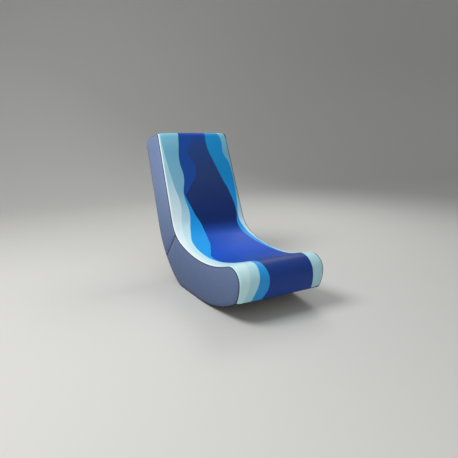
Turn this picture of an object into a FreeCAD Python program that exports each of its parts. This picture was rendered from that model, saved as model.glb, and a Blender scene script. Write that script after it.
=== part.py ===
import FreeCAD, Part
import os
from math import cos, hypot, radians, sin, sqrt, tan

# A folding floor rocker chair: a curved seat and a reclined back, hinged along a fold line.
# Units are millimetres. X is the width, the chair faces -Y, Z is up and Z = 0 is the floor.
# The side profile is drawn in (u, z), with u measured forwards.

V = FreeCAD.Vector

# Overall sizes
WIDTH = 430.0
TOP_HEIGHT = 675.0
BACK_LEAN = 21.0          # degrees from upright, front and rear faces alike
LAP_RADIUS = 142.35       # concave curve where the back runs into the seat
LAP_TURN = 50.0
SEAT_RADIUS = 492.0       # long concave curve of the seat
SEAT_TURN = 41.3
NOSE_RADIUS = 51.7        # round front end of the seat
NOSE_FRONT_RADIUS = 150.0
LAP_START = (291.0, 270.6)
NOSE_FOOT_TURN = 28.3
FLAT_FRONT = 520.0        # the part of the base that rests on the floor
FLAT_REAR = 388.0
HEEL_RADIUS = 62.0
HEEL_TURN = 23.5
ROCKER_RADIUS = 383.3
TOP_FACE_RISE = 16.0      # degrees, top face rising towards the front
TOP_FRONT_ROUND = 17.0
TOP_REAR_ROUND = 22.0

# Fold line and hinge
FOLD_AT_TURN = 27.0       # degrees of the lap curve that belong to the back
FOLD_HEADING = 234.0
HINGE_DEPTH = 4.8
SLIT_HALF = 1.5
NOTCH_HALF = 57.0
KNUCKLE_RADIUS = 2.9
PIN_RADIUS = 1.4
PIN_CLEARANCE = 0.05
LEAF_LENGTH = 64.0
LEAF_WIDTH = 42.0
HINGE_X = 110.0
HINGE_RAIL_DEEP = 72.0

# Thicknesses, from the outside in
CLEAR = 0.2
COVER = 1.2
END_COVER = 1.0
FOAM = {"seat": 34.0, "back": 22.0}
DECK = {"seat": 6.0, "back": 3.0}
BOARD = {"seat": 9.0, "back": 2.0}
RIB = {"seat": 18.0, "back": 12.0}
RAIL = {"seat": 18.0, "back": 12.0}
PAD = 14.0
PAD_SET_IN = 2.5          # the side pads' outline lies this far inside the cover's edge
PAD_ROUND = 8.0
PAD_CROWN = {"seat": 1300.0, "back": 700.0}
EDGE_ROUND = 7.0
CROWN = 3.0               # the cushions' middle stands this far above their edges
SLOT_HALF = 30.0
SLOT_WEB = 30.0
TOP_RAIL_DROP = 91.0
LUMBAR_RAIL_DEEP = 58.3

HALF = WIDTH / 2
CORE = HALF - PAD         # half width of everything between the side pads


# Profile geometry
def unit(heading):
    a = radians(heading)
    return cos(a), sin(a)


def step(p, heading, length):
    du, dz = unit(heading)
    return p[0] + length * du, p[1] + length * dz


def arc(p, heading, radius, turn):
    """Start, middle and end of an arc; a positive turn is to the left."""
    side = 90 if turn > 0 else -90
    c = step(p, heading + side, radius)
    return p, step(c, heading - side + turn / 2, radius), step(c, heading - side + turn, radius)


def meet(p, hp, q, hq):
    """Where the line from p with heading hp crosses the line from q with heading hq."""
    a, b = unit(hp)
    c, d = unit(hq)
    t = ((q[0] - p[0]) * d - (q[1] - p[1]) * c) / (a * d - b * c)
    return p[0] + t * a, p[1] + t * b


DOWN = -(90 - BACK_LEAN)
UP = 90 + BACK_LEAN

lap = arc(LAP_START, DOWN, LAP_RADIUS, LAP_TURN)
seat_curve = arc(lap[2], DOWN + LAP_TURN, SEAT_RADIUS, SEAT_TURN)
nose_heading = DOWN + LAP_TURN + SEAT_TURN
nose = arc(seat_curve[2], nose_heading, NOSE_RADIUS, -(90 + nose_heading))
nose_foot = arc(nose[2], -90, NOSE_FRONT_RADIUS, -NOSE_FOOT_TURN)

run, rise = nose_foot[2][0] - FLAT_FRONT, nose_foot[2][1]
toe_radius = (run ** 2 + rise ** 2) / (2 * rise)
toe_mid_drop = toe_radius - sqrt(toe_radius ** 2 - (run / 2) ** 2)
toe = (nose_foot[2], (FLAT_FRONT + run / 2, toe_mid_drop), (FLAT_FRONT, 0.0))
heel = arc((FLAT_REAR, 0.0), 180, HEEL_RADIUS, -HEEL_TURN)
rocker = arc(heel[2], 180 - HEEL_TURN, ROCKER_RADIUS, -(90 - HEEL_TURN - BACK_LEAN))

front_bend = 90 - BACK_LEAN + TOP_FACE_RISE
rear_bend = 180 - front_bend
front_cut = TOP_FRONT_ROUND * tan(radians(front_bend / 2))
rear_cut = TOP_REAR_ROUND * tan(radians(rear_bend / 2))
slope_sin, slope_cos = sin(radians(TOP_FACE_RISE)), cos(radians(TOP_FACE_RISE))
corner_z = TOP_HEIGHT + front_cut * slope_sin - TOP_FRONT_ROUND * (1 - slope_cos)
top_front = (LAP_START[0] - (corner_z - LAP_START[1]) * tan(radians(BACK_LEAN)), corner_z)
top_rear = meet(top_front, 180 + TOP_FACE_RISE, rocker[2], UP)
rear_top = step(top_rear, UP, -rear_cut)
rear_round = arc(rear_top, UP, TOP_REAR_ROUND, -rear_bend)
front_round_start = step(top_front, TOP_FACE_RISE, -front_cut)
front_round = arc(front_round_start, TOP_FACE_RISE, TOP_FRONT_ROUND, -front_bend)

back_run = hypot(rear_top[0] - rocker[2][0], rear_top[1] - rocker[2][1])
back_thick = ((LAP_START[0] - rocker[2][0]) * cos(radians(BACK_LEAN))
              + (LAP_START[1] - rocker[2][1]) * sin(radians(BACK_LEAN)))

rear_centre = step(rear_top, UP - 90, TOP_REAR_ROUND)
MIDDLE = (nose[2][0] + CROWN + rear_centre[0] - TOP_REAR_ROUND) / 2


def at(p, x=0.0):
    return V(x, MIDDLE - p[0], p[1])


def bend(points):
    return Part.Arc(*[at(p) for p in points]).toShape()


def line(p, q):
    return Part.makeLine(at(p), at(q))


outline = Part.Wire([
    line(front_round[2], LAP_START), bend(lap), bend(seat_curve), bend(nose), bend(nose_foot),
    bend(toe), line(toe[2], (FLAT_REAR, 0.0)), bend(heel), bend(rocker),
    line(rocker[2], rear_top), bend(rear_round), line(rear_round[2], front_round_start),
    bend(front_round)])
outline_face = Part.Face(outline)

# Hinge axis: on the fold line, just under the cover
fold_front = arc(LAP_START, DOWN, LAP_RADIUS, FOLD_AT_TURN)[2]
AXIS = step(fold_front, FOLD_HEADING, HINGE_DEPTH)


def across(deep, side):
    """A point given by its depth along the fold line from the axis and its distance to the
    seat's side of it."""
    return step(step(AXIS, FOLD_HEADING, deep), FOLD_HEADING + 90, side)


# Solids from the profile
def prism(face, x0, x1):
    f = face.copy()
    f.translate(V(x0, 0, 0))
    return f.extrude(V(x1 - x0, 0, 0))


def inset_face(d):
    return outline_face.makeOffset2D(-d) if d > 0 else outline_face


def poly(points):
    return Part.Face(Part.makePolygon([at(p) for p in points] + [at(points[0])]))


def ring(d0, d1, half):
    return prism(inset_face(d0), -half, half).cut(prism(inset_face(d1), -half - 1, half + 1))


def mask(points):
    return prism(poly(points), -HALF - 5, HALF + 5)


def side_mask(side, gap, notch=0.0):
    """Everything on the seat's side (+1) or the back's side (-1) of the slit, at least gap away,
    with the notch over the hinge left out."""
    edge = [across(-60, side * gap), across(400, side * gap),
            across(400, side * 900), across(-700, side * 900), across(-700, side * 600)]
    solid = mask(edge)
    if notch:
        out = FOLD_HEADING + 180
        lip = step(AXIS, out - side * notch, 120)
        solid = solid.cut(mask([AXIS, lip, step(AXIS, out + side * 60, 120)]))
    return solid


def one(shape):
    """The largest solid of a shape, cleaned."""
    s = max(shape.Solids, key=lambda v: v.Volume)
    return s.removeSplitter()


def between(p, q):
    return (p[0] + q[0]) / 2, (p[1] + q[1]) / 2


# The cover zone is the half of the profile that faces the sitter, over the top edge
divide = [
    nose_foot[2], step(between(seat_curve[2], toe[1]), 20, 14), between(seat_curve[1], toe[2]),
    between(lap[2], heel[0]), between(fold_front, rocker[1]), between(LAP_START, rocker[2]),
    step(between(front_round[2], rear_top), UP, -45), top_rear]
front_far, base_far = step(nose_foot[2], -35, 100), step(top_rear, 180, 120)
cover_zone = mask(divide + [
    step(top_rear, 135, 90), step(top_front, 60, 300), step(nose[2], 45, 700), front_far])
base_zone = mask(divide + [
    base_far, (base_far[0], -60), (front_far[0], -60), front_far])

# The path that the crowned cushions follow, from the rear of the top edge to the nose's foot
PATH = [
    (step(rear_top, UP, -12), UP, 12, 0), (rear_top, UP, TOP_REAR_ROUND, -rear_bend),
    (rear_round[2], TOP_FACE_RISE, hypot(front_round_start[0] - rear_round[2][0],
                                         front_round_start[1] - rear_round[2][1]), 0),
    (front_round_start, TOP_FACE_RISE, TOP_FRONT_ROUND, -front_bend),
    (front_round[2], DOWN, hypot(LAP_START[0] - front_round[2][0],
                                 LAP_START[1] - front_round[2][1]), 0),
    (LAP_START, DOWN, LAP_RADIUS, LAP_TURN),
    (lap[2], DOWN + LAP_TURN, SEAT_RADIUS, SEAT_TURN),
    (seat_curve[2], nose_heading, NOSE_RADIUS, -(90 + nose_heading)),
    (nose[2], -90, NOSE_FRONT_RADIUS, -NOSE_FOOT_TURN),
    (nose_foot[2], -90 - NOSE_FOOT_TURN, 12, 0)]


SPAN = {"back": PATH[:6], "seat": PATH[5:], "fold": PATH[5:6]}


def crowned(part, d0, d1, half, round_off):
    """A layer from depth d0 to d1 along a part of the path, bulged in its middle, with round
    edges. Round a convex bend tighter than its depth, its straight neighbours fill the inside."""
    bulge = (half ** 2 + CROWN ** 2) / (2 * CROWN)
    centre = d0 - CROWN + bulge
    edge_x = half - round_off
    edge_d = centre - sqrt((bulge - round_off) ** 2 - edge_x ** 2)
    tx = edge_x * bulge / (bulge - round_off)
    td = centre - (centre - edge_d) * bulge / (bulge - round_off)
    mx, md = edge_x + round_off * cos(radians(45)), edge_d - round_off * sin(radians(45))
    solids = []
    for p, heading, size, turn in SPAN[part]:
        deep = min(d1, size - 0.05) if turn < 0 else d1

        def put(x, d):
            return at(step(p, heading - 90, d), x)
        face = Part.Face(Part.Wire([
            Part.makeLine(put(-half, deep), put(-half, edge_d)),
            Part.Arc(put(-half, edge_d), put(-mx, md), put(-tx, td)).toShape(),
            Part.Arc(put(-tx, td), put(0, d0 - CROWN), put(tx, td)).toShape(),
            Part.Arc(put(tx, td), put(mx, md), put(half, edge_d)).toShape(),
            Part.makeLine(put(half, edge_d), put(half, deep)),
            Part.makeLine(put(half, deep), put(-half, deep))]))
        if turn:
            centre_p = step(p, heading + (90 if turn > 0 else -90), size)
            solids.append(face.revolve(at(centre_p), V(1, 0, 0), -turn))
        else:
            ahead = at(step(p, heading, size)).sub(at(p))
            solids.append(face.extrude(ahead))
    return solids[0].fuse(solids[1:])


knuckle_room = Part.makeCylinder(
    KNUCKLE_RADIUS + 0.4, 2 * HALF, at(AXIS, -HALF), V(1, 0, 0))


def corner_edge(solid, p):
    """The edge across the width nearest to a profile point."""
    target = at(p)

    def off(e):
        c = e.CenterOfMass
        return hypot(c.y - target.y, c.z - target.z)

    return min([e for e in solid.Edges if e.BoundBox.XLength > 0.9 * solid.BoundBox.XLength
                and e.BoundBox.YLength < 0.01], key=off)


nodes = {}

# Frame: plywood ribs, rails, bent decks and boards
for body, side in (("seat", 1), ("back", -1)):
    foam_in = COVER + CLEAR + FOAM[body]
    deck_in = foam_in + CLEAR + DECK[body]
    board_in = COVER + CLEAR + BOARD[body]
    rib_in = CORE - RIB[body]
    rail_far = SLIT_HALF + END_COVER + CLEAR + RAIL[body]
    zone = side_mask(side, SLIT_HALF + END_COVER + CLEAR)
    front_skin = ring(0, deck_in + CLEAR, HALF).common(cover_zone)
    rib = one(prism(inset_face(board_in + CLEAR), rib_in, CORE).common(zone).cut(front_skin))
    nodes[body + "_rib_right"] = rib
    nodes[body + "_rib_left"] = rib.mirror(V(0, 0, 0), V(1, 0, 0))
    rail_room = prism(poly([
        across(0, 0), across(HINGE_RAIL_DEEP + CLEAR, 0),
        across(HINGE_RAIL_DEEP + CLEAR, side * (rail_far + CLEAR)),
        across(0, side * (rail_far + CLEAR))]), -rib_in, rib_in)
    deck = ring(foam_in + CLEAR, deck_in, CORE).common(cover_zone).common(zone)
    nodes[body + "_deck"] = one(deck.cut(rail_room))
    board = ring(COVER + CLEAR, board_in, CORE).common(base_zone).common(zone)
    nodes[body + ("_bottom_board" if side > 0 else "_rear_board")] = one(board)
    near = SLIT_HALF + END_COVER + CLEAR
    rail = poly([across(3.6, side * near), across(HINGE_RAIL_DEEP, side * near),
                 across(HINGE_RAIL_DEEP, side * rail_far), across(3.6, side * rail_far)])
    nodes[body + "_hinge_rail"] = prism(rail, -rib_in + 0.1, rib_in - 0.1)

    # Foam under the printed cover
    skin = COVER + CLEAR
    foam = crowned(body, skin, foam_in, CORE - skin, EDGE_ROUND - skin)
    foam = foam.common(cover_zone).common(side_mask(side, near, NOTCH_HALF + 2))
    nodes[body + "_foam"] = one(foam.cut(rail_room.fuse(knuckle_room)))

    # Printed cover: a skin with its long edges turned in against the ribs
    notch_zone = side_mask(side, SLIT_HALF, NOTCH_HALF)
    outer = crowned(body, 0, foam_in, CORE, EDGE_ROUND)
    inner = crowned(body, COVER, foam_in + 4, CORE - COVER, EDGE_ROUND - COVER)
    cover = outer.cut(inner).common(cover_zone)
    nodes[body + "_cover"] = one(cover.common(notch_zone).cut(knuckle_room))

    # Black cloth on the base or rear, and on the end face in the slit
    cloth = ring(0, COVER, CORE).common(base_zone).common(side_mask(side, SLIT_HALF))
    nodes[body + ("_dust_cover" if side > 0 else "_rear_cover")] = one(cloth)
    end = mask([across(3.4, side * SLIT_HALF), across(300, side * SLIT_HALF),
                across(300, side * (SLIT_HALF + END_COVER)),
                across(3.4, side * (SLIT_HALF + END_COVER))])
    end = end.common(prism(inset_face(COVER + CLEAR), -CORE, CORE))
    nodes[body + "_end_cover"] = one(end.cut(nodes[body + "_cover"]))


# Side pads: foam under a sewn cloth, round at every outer edge
def pad_solid(side, d):
    body = one(prism(inset_face(PAD_SET_IN + d), CORE + 0.3, HALF).common(
        side_mask(side, SLIT_HALF + d)))
    rear_point = across(144 - d, side * (SLIT_HALF + d))
    corners = [(across(-HINGE_DEPTH + d, side * (SLIT_HALF + d)), 15.0), (rear_point, 12.0)]
    if side > 0:
        corners.append((step(nose_foot[2], 170, d), 20.0))
    for p, r in corners:
        body = body.makeFillet(r - d, [corner_edge(body, p)])
    big = PAD_CROWN["seat" if side > 0 else "back"]
    if side > 0:
        dome = Part.makeCylinder(big - d, 3000, V(HALF - big, -1500, 112), V(0, 1, 0))
    else:
        low = step(rocker[2], UP - 90, 72.0)
        way = at(step(low, UP, 100)).sub(at(low))
        dome = Part.makeCylinder(big - d, 3000, at(step(low, UP, -1500), HALF - big), way)
    body = one(body.common(dome))
    outer = [e for e in body.Edges if e.BoundBox.XMin > CORE + 3]
    return body.makeFillet(PAD_ROUND - d, outer)


for body, side in (("seat", 1), ("back", -1)):
    shell = one(pad_solid(side, 0).cut(pad_solid(side, COVER)))
    filling = pad_solid(side, COVER + CLEAR)
    for name, solid in (("_side_cover", shell), ("_side_foam", filling)):
        nodes[body + name + "_right"] = solid
        nodes[body + name + "_left"] = solid.mirror(V(0, 0, 0), V(1, 0, 0))

# Strip of the cover that bends over the hinge
strip = crowned("fold", 0, 8, CORE, EDGE_ROUND).cut(
    crowned("fold", COVER, 9, CORE - COVER, EDGE_ROUND - COVER))
strip = strip.common(cover_zone).common(mask([
    AXIS, step(AXIS, FOLD_HEADING + 180 - NOTCH_HALF, 60),
    step(AXIS, FOLD_HEADING + 180 + NOTCH_HALF, 60)]))
nodes["fold_cover"] = one(strip)


# Cross rails between the ribs
def bar(body, p, heading, length):
    a = step(p, heading, length)
    thick, half = RAIL[body], CORE - RIB[body] - 0.1
    return prism(poly([p, a, step(a, heading - 90, thick), step(p, heading - 90, thick)]),
                 -half, half)


RAILS = {
    "seat_front_rail": ((712.0, 70.0), 90.0, 68.0),
    "seat_middle_rail": ((560.0, 16.0), 90.0, 90.0),
    "seat_bottom_rail": ((392.0, 29.0), 0.0, 70.0),
    "back_lumbar_rail": (step(rocker[2], UP - 90, back_thick - LUMBAR_RAIL_DEEP), UP, 60.0),
    "back_top_rail": (step(step(rear_top, UP, -TOP_RAIL_DROP), UP - 90,
                           (back_thick - RAIL["back"]) / 2), UP, 60.0),
}
for name, (p, heading, length) in RAILS.items():
    nodes[name] = bar(name[:4], p, heading, length)

# Middle rib of the seat, slotted over the cross rails
half_rib = RIB["seat"] / 2
middle = nodes["seat_rib_right"].copy()
middle.translate(V(half_rib - CORE, 0, 0))
for name in ("seat_front_rail", "seat_middle_rail", "seat_bottom_rail", "seat_hinge_rail"):
    middle = middle.cut(nodes[name])
nodes["seat_rib_middle"] = one(middle)

# Weight-saving slots through the back's ribs, two between the cross rails
slot_foot, slot_head = 40.0, back_run - TOP_RAIL_DROP - 45.0
slot_long = (slot_head - slot_foot - SLOT_WEB) / 2 - 2 * SLOT_HALF
for tag, x in (("right", CORE), ("left", RIB["back"] - CORE)):
    for low in (slot_foot + SLOT_HALF, slot_head - SLOT_HALF - slot_long):
        mid = step(step(rocker[2], UP, low), UP - 90, back_thick * 0.42)
        end = step(mid, UP, slot_long)
        slot = poly([step(mid, UP - 90, -SLOT_HALF), step(mid, UP - 90, SLOT_HALF),
                     step(end, UP - 90, SLOT_HALF), step(end, UP - 90, -SLOT_HALF)])
        slot = prism(slot, x - RIB["back"] - 1, x + 1)
        for p in (mid, end):
            slot = slot.fuse(Part.makeCylinder(
                SLOT_HALF, RIB["back"] + 2, at(p, x - RIB["back"] - 1), V(1, 0, 0)))
        nodes["back_rib_" + tag] = nodes["back_rib_" + tag].cut(slot)


# Countersunk screws through the ribs into the rails
def screw(p, x, into, head_r, shank_r, head_h, length, grow=0.0):
    """A screw whose head is flush at x and whose shank points along into (-1 or +1 in X)."""
    way = V(into, 0, 0)
    cone = Part.makeCone(head_r + grow, shank_r + grow, head_h, at(p, x), way)
    shank = Part.makeCylinder(shank_r + grow, length, at(p, x), way)
    return cone.fuse(shank)


SCREW_SPOTS = {"seat": [], "back": []}
for name in list(RAILS) + ["seat_hinge_rail", "back_hinge_rail"]:
    c = nodes[name].CenterOfMass
    mid = (MIDDLE - c.y, c.z)
    if name in RAILS:
        heading, length = RAILS[name][1], RAILS[name][2]
    else:
        heading, length, mid = FOLD_HEADING, 30.0, step(mid, FOLD_HEADING, 16.0)
    SCREW_SPOTS[name[:4]].append((name, step(mid, heading, length * 0.3)))
    SCREW_SPOTS[name[:4]].append((name, step(mid, heading, -length * 0.3)))

for body, spots in SCREW_SPOTS.items():
    for tag, s in (("right", 1), ("left", -1)):
        long = RIB[body] + 28.0
        screws = [screw(p, s * CORE, -s, 4.0, 2.0, 2.4, long) for _, p in spots]
        holes = [screw(p, s * CORE, -s, 4.0, 2.0, 2.4, long + 0.4, 0.1) for _, p in spots]
        rib = body + "_rib_" + tag
        nodes[rib] = one(nodes[rib].cut(Part.makeCompound(holes)))
        for (name, _), hole in zip(spots, holes):
            nodes[name] = one(nodes[name].cut(hole))
        nodes[body + "_frame_screws_" + tag] = Part.makeCompound(screws)

# Butt hinges: leaves with interleaved knuckles, a headed pin and three screws in each leaf
LEAF_IN, LEAF_OUT = 0.3, SLIT_HALF
KNUCKLES = 5
for tag, centre in (("right", HINGE_X), ("left", -HINGE_X)):
    x0 = centre - LEAF_LENGTH / 2
    pitch = LEAF_LENGTH / KNUCKLES
    bore = Part.makeCylinder(PIN_RADIUS + PIN_CLEARANCE, LEAF_LENGTH + 2, at(AXIS, x0 - 1),
                             V(1, 0, 0))
    for body, side, own in (("seat", 1, (0, 2, 4)), ("back", -1, (1, 3))):
        plate = prism(poly([across(3.3, side * LEAF_IN), across(LEAF_WIDTH, side * LEAF_IN),
                            across(LEAF_WIDTH, side * LEAF_OUT), across(3.3, side * LEAF_OUT)]),
                      x0, x0 + LEAF_LENGTH)
        tab = poly([across(0, side * LEAF_IN), across(3.3, side * LEAF_IN),
                    across(3.3, side * LEAF_OUT), across(0, side * LEAF_OUT)])
        leaf = plate
        for k in own:
            a, b = x0 + k * pitch + 0.15, x0 + (k + 1) * pitch - 0.15
            leaf = leaf.fuse(prism(tab, a, b)).fuse(Part.makeCylinder(
                KNUCKLE_RADIUS, b - a, at(AXIS, a), V(1, 0, 0)))
        leaf = one(leaf.cut(bore))
        screws = []
        for dx, deep in ((-22.0, 30.0), (0.0, 16.0), (22.0, 30.0)):
            base = at(across(deep, side * LEAF_IN), centre + dx)
            inward = at(across(deep, side * 10), centre + dx).sub(base)
            cone = Part.makeCone(3.2, 1.6, 1.5, base, inward)
            reach = RAIL[body] - 1.0
            shank = Part.makeCylinder(1.6, reach, base, inward)
            screws.append(cone.fuse(shank))
            hole = Part.makeCone(3.3, 1.7, 1.5, base, inward).fuse(
                Part.makeCylinder(1.7, reach + 0.2, base, inward))
            leaf = leaf.cut(hole)
            for other in (body + "_hinge_rail", body + "_end_cover"):
                nodes[other] = one(nodes[other].cut(hole))
        nodes["hinge_leaf_" + body + "_" + tag] = one(leaf)
        nodes["hinge_screws_" + body + "_" + tag] = Part.makeCompound(screws)
    pin = Part.makeCylinder(PIN_RADIUS, LEAF_LENGTH + 0.4, at(AXIS, x0 - 0.2), V(1, 0, 0))
    for x, way in ((x0 - 0.2, -1), (x0 + LEAF_LENGTH + 0.2, 1)):
        pin = pin.fuse(Part.makeCylinder(PIN_RADIUS + 0.8, 0.8, at(AXIS, x), V(way, 0, 0)))
    nodes["hinge_pin_" + tag] = pin

os.makedirs("parts", exist_ok=True)
for name, shape in nodes.items():
    shape.exportStep(os.path.join("parts", name + ".step"))
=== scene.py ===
import bpy, bmesh, math
from collections import Counter
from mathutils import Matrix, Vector, noise
from mathutils.geometry import delaunay_2d_cdt


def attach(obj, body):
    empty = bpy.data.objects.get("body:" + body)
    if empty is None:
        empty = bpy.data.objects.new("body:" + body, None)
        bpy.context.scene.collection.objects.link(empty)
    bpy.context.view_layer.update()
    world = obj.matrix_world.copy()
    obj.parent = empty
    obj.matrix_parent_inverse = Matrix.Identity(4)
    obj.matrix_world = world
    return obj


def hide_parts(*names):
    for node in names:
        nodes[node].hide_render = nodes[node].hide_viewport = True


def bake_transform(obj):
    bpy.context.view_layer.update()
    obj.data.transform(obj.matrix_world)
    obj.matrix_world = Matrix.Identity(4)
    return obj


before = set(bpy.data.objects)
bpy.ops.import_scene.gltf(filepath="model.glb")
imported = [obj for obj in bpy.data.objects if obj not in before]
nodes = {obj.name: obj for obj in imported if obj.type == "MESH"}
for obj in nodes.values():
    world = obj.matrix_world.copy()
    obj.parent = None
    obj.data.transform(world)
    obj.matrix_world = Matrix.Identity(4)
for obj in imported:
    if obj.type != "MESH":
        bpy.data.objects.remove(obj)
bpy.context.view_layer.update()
scene = bpy.context.scene


# The room: a camera at the photograph's angle, in front of the chair and to one side, a pale
# painted floor that runs on behind as a backdrop, and plain soft lamps.
def hex_colour(text):
    """An sRGB hex value as the linear colour that a shader takes."""
    parts = [int(text[i:i + 2], 16) / 255 for i in (1, 3, 5)]
    return [c / 12.92 if c <= 0.04045 else ((c + 0.055) / 1.055) ** 2.4 for c in parts] + [1.0]


def add(tree, kind, settings=None, **inputs):
    """Adds a node with its settings, and sets or links its inputs by name or by number."""
    n = tree.nodes.new(kind)
    for key, value in (settings or {}).items():
        setattr(n, key, value)
    for key, value in inputs.items():
        slot = n.inputs[int(key[1:])] if key[0] == "i" and key[1:].isdigit() else \
            n.inputs[key.replace("_", " ")]
        if isinstance(value, bpy.types.NodeSocket):
            tree.links.new(value, slot)
        else:
            slot.default_value = value
    return n


def new_material(name):
    m = bpy.data.materials.new(name)
    m.use_nodes = True
    return m, m.node_tree, m.node_tree.nodes["Principled BSDF"]


def grid_piece(name, rows):
    """A sheet of quads from rows of points."""
    mesh = bpy.data.meshes.new(name)
    wide = len(rows[0])
    faces = [(r * wide + c, r * wide + c + 1, (r + 1) * wide + c + 1, (r + 1) * wide + c)
             for r in range(len(rows) - 1) for c in range(wide - 1)]
    mesh.from_pydata([p for row in rows for p in row], [], faces)
    piece = bpy.data.objects.new(name, mesh)
    scene.collection.objects.link(piece)
    for face in mesh.polygons:
        face.use_smooth = True
    return piece


camera = bpy.data.objects.new("camera", bpy.data.cameras.new("camera"))
scene.collection.objects.link(camera)
scene.camera = camera
camera.data.lens = 30.849
camera.data.sensor_width = 36.0
camera.data.shift_x = 0.15847
camera.data.shift_y = -0.20145
camera.location = (-1.0445, -1.4952, 0.6901)
camera.rotation_euler = (math.radians(89.108), 0, math.radians(-25.4))

# in metres; the floor lies just under the base, so that the two never share a plane
FLOOR_REACH, FLOOR_DROP, BEND_START, BEND_RADIUS, WALL_TOP = 25.0, 0.0002, 2.0, 2.4, 16.0
sweep = [(-FLOOR_REACH, 0.0), (BEND_START, 0.0)] + [
    (BEND_START + BEND_RADIUS * math.sin(a * math.pi / 32),
     BEND_RADIUS - BEND_RADIUS * math.cos(a * math.pi / 32))
    for a in range(1, 17)] + [(BEND_START + BEND_RADIUS, WALL_TOP)]
floor = grid_piece("floor", [[(x, y, z - FLOOR_DROP) for x in (-FLOOR_REACH, FLOOR_REACH)]
                             for y, z in sweep])
floor_paint, _, paint_shader = new_material("matt_studio_floor")
# matt paint: one pale tone without gloss, that takes the chair's soft shadow
paint_shader.inputs["Base Color"].default_value = hex_colour("#D9D8D4")
paint_shader.inputs["Roughness"].default_value = 0.85
floor.data.materials.append(floor_paint)

for name, stand, aim, size, power in (
        ("window_light", (-1.7, -0.1, 2.3), (0.0, 0.0, 0.25), 1.1, 46.0),
        ("front_fill", (-1.4, -2.4, 1.1), (0.0, 0.0, 0.3), 1.6, 9.0),
        ("rim_light", (1.6, 0.9, 2.0), (0.0, 0.0, 0.3), 1.2, 18.0)):
    lamp = bpy.data.objects.new(name, bpy.data.lights.new(name, "AREA"))
    lamp.data.size = size
    lamp.data.energy = power
    lamp.location = stand
    lamp.rotation_euler = (Vector(aim) - Vector(stand)).to_track_quat("-Z", "Y").to_euler()
    scene.collection.objects.link(lamp)
world = bpy.data.worlds.new("soft_room")
scene.world = world
world.use_nodes = True
world.node_tree.nodes["Background"].inputs["Color"].default_value = hex_colour("#EEF0F4")
world.node_tree.nodes["Background"].inputs["Strength"].default_value = 0.36
scene.view_settings.view_transform = "Standard"


# The wooden frame: sawn plywood ribs, planed softwood rails and thin boards bent over them,
# glued and screwed together, all inside the upholstery.
def bands_apart(mm):
    """The Scale at which a Wave texture's bands lie this far apart."""
    return 1000 / mm / 20 * 6.283


def dress(mesh, material):
    mesh.materials.clear()
    mesh.materials.append(material)


def board_material(name, pale, dark, grain_mm, plies_mm):
    """Sawn wood: long streaks of a darker grain, crossed by faint bands of the glued layers."""
    m, tree, shader = new_material(name)
    at_object = add(tree, "ShaderNodeTexCoord").outputs["Object"]
    long = add(tree, "ShaderNodeMapping", Vector=at_object, Scale=(1.0, 0.08, 1.0)).outputs[0]
    grain = add(tree, "ShaderNodeTexNoise", Vector=long, Scale=1000 / grain_mm, Detail=6.0,
                Roughness=0.6, Distortion=0.4)
    layers = add(tree, "ShaderNodeTexWave", {"bands_direction": "X"}, Vector=at_object,
                 Scale=bands_apart(plies_mm), Distortion=0.3)
    mixed = add(tree, "ShaderNodeMix", {"data_type": "RGBA"}, Factor=grain.outputs["Fac"],
                i6=hex_colour(dark), i7=hex_colour(pale))
    shade = add(tree, "ShaderNodeMix", {"data_type": "RGBA", "blend_type": "MULTIPLY"},
                Factor=0.2, i6=mixed.outputs[2], i7=layers.outputs["Color"])
    tree.links.new(shade.outputs[2], shader.inputs["Base Color"])
    shader.inputs["Roughness"].default_value = 0.72
    bump = add(tree, "ShaderNodeBump", Strength=0.25, Distance=0.0006, Height=grain.outputs["Fac"])
    tree.links.new(bump.outputs[0], shader.inputs["Normal"])
    return m


plywood = board_material("birch_plywood_sawn", "#CDAA78", "#A57F4E", 3.0, 1.5)
softwood = board_material("planed_pine", "#D9B988", "#B88F58", 5.0, 9.0)
hardboard = board_material("pressed_hardboard", "#7A5A3C", "#5E432B", 1.2, 30.0)
for name, node in nodes.items():
    wood = plywood if "_rib_" in name else softwood if name.endswith("_rail") else \
        hardboard if name.endswith(("_deck", "_board")) else None
    if wood:
        dress(node.data, wood)


# The butt hinges at the slit: pressed steel leaves round a drawn pin, zinc plated, and yellow
# passivated wood screws there and in the frame.
def metal_material(name, colour, rough, scratch_mm):
    """Plated steel: fine lines from drawing and pressing streak its gloss, over a cloudy tint."""
    m, tree, shader = new_material(name)
    at_object = add(tree, "ShaderNodeTexCoord").outputs["Object"]
    drawn = add(tree, "ShaderNodeMapping", Vector=at_object, Scale=(0.05, 1.0, 1.0)).outputs[0]
    lines = add(tree, "ShaderNodeTexNoise", Vector=drawn, Scale=1000 / scratch_mm, Detail=4.0)
    uneven = add(tree, "ShaderNodeTexNoise", Vector=at_object, Scale=120.0, Detail=3.0)
    tint = add(tree, "ShaderNodeMix", {"data_type": "RGBA"}, Factor=uneven.outputs["Fac"],
               i6=[0.72 * c for c in hex_colour(colour)[:3]] + [1], i7=hex_colour(colour))
    tree.links.new(tint.outputs[2], shader.inputs["Base Color"])
    spread = add(tree, "ShaderNodeMapRange", Value=lines.outputs["Fac"], To_Min=rough - 0.08,
                 To_Max=rough + 0.1)
    tree.links.new(spread.outputs[0], shader.inputs["Roughness"])
    shader.inputs["Metallic"].default_value = 1.0
    bump = add(tree, "ShaderNodeBump", Strength=0.15, Distance=0.0002, Height=lines.outputs["Fac"])
    tree.links.new(bump.outputs[0], shader.inputs["Normal"])
    return m


zinc_steel = metal_material("zinc_plated_pressed_steel", "#C4C7CA", 0.34, 0.8)
screw_steel = metal_material("yellow_passivated_screw_steel", "#C9B171", 0.36, 0.5)
for name, node in nodes.items():
    steel = screw_steel if "_screws" in name else zinc_steel if name.startswith("hinge_") else None
    if steel:
        dress(node.data, steel)

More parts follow.
